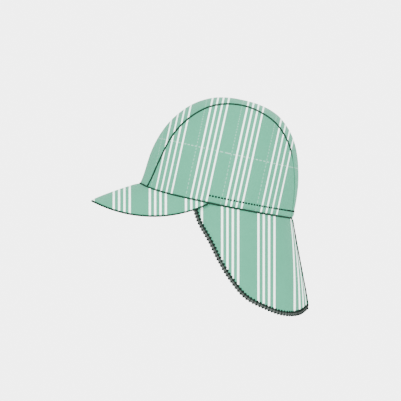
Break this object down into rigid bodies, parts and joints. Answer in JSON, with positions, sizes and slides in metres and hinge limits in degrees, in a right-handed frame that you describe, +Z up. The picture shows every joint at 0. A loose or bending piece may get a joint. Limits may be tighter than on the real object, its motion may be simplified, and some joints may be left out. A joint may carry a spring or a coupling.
{
  "type": "sun cap with neck flap",
  "caption": "Small child's soft sun cap with a domed crown of a centre strip and side panels, a curved front peak, and a neck flap with an overlocked edge.",
  "frame": {"origin": "middle of the head opening, where the cap sits on a head", "axes": "+Z up out of the crown's top, -X out of the front over the peak, +Y to the wearer's right"},
  "size_m": [0.2512, 0.162, 0.2542],
  "materials": {
    "crown_cloth": "plain-woven cotton, sage green with groups of four narrow white stripes",
    "peak_cloth": "striped cotton drawn smooth over a stiffener",
    "flap_cloth": "striped cotton, soft and unlined",
    "edging_thread": "near-black overlocking thread"
  },
  "bodies": {
    "root": {"crown_centre_strip": "crown_cloth", "crown_left_panel": "crown_cloth", "crown_right_panel": "crown_cloth", "peak": "peak_cloth", "neck_flap": "flap_cloth", "flap_edging": "edging_thread"}
  },
  "joints": []
}
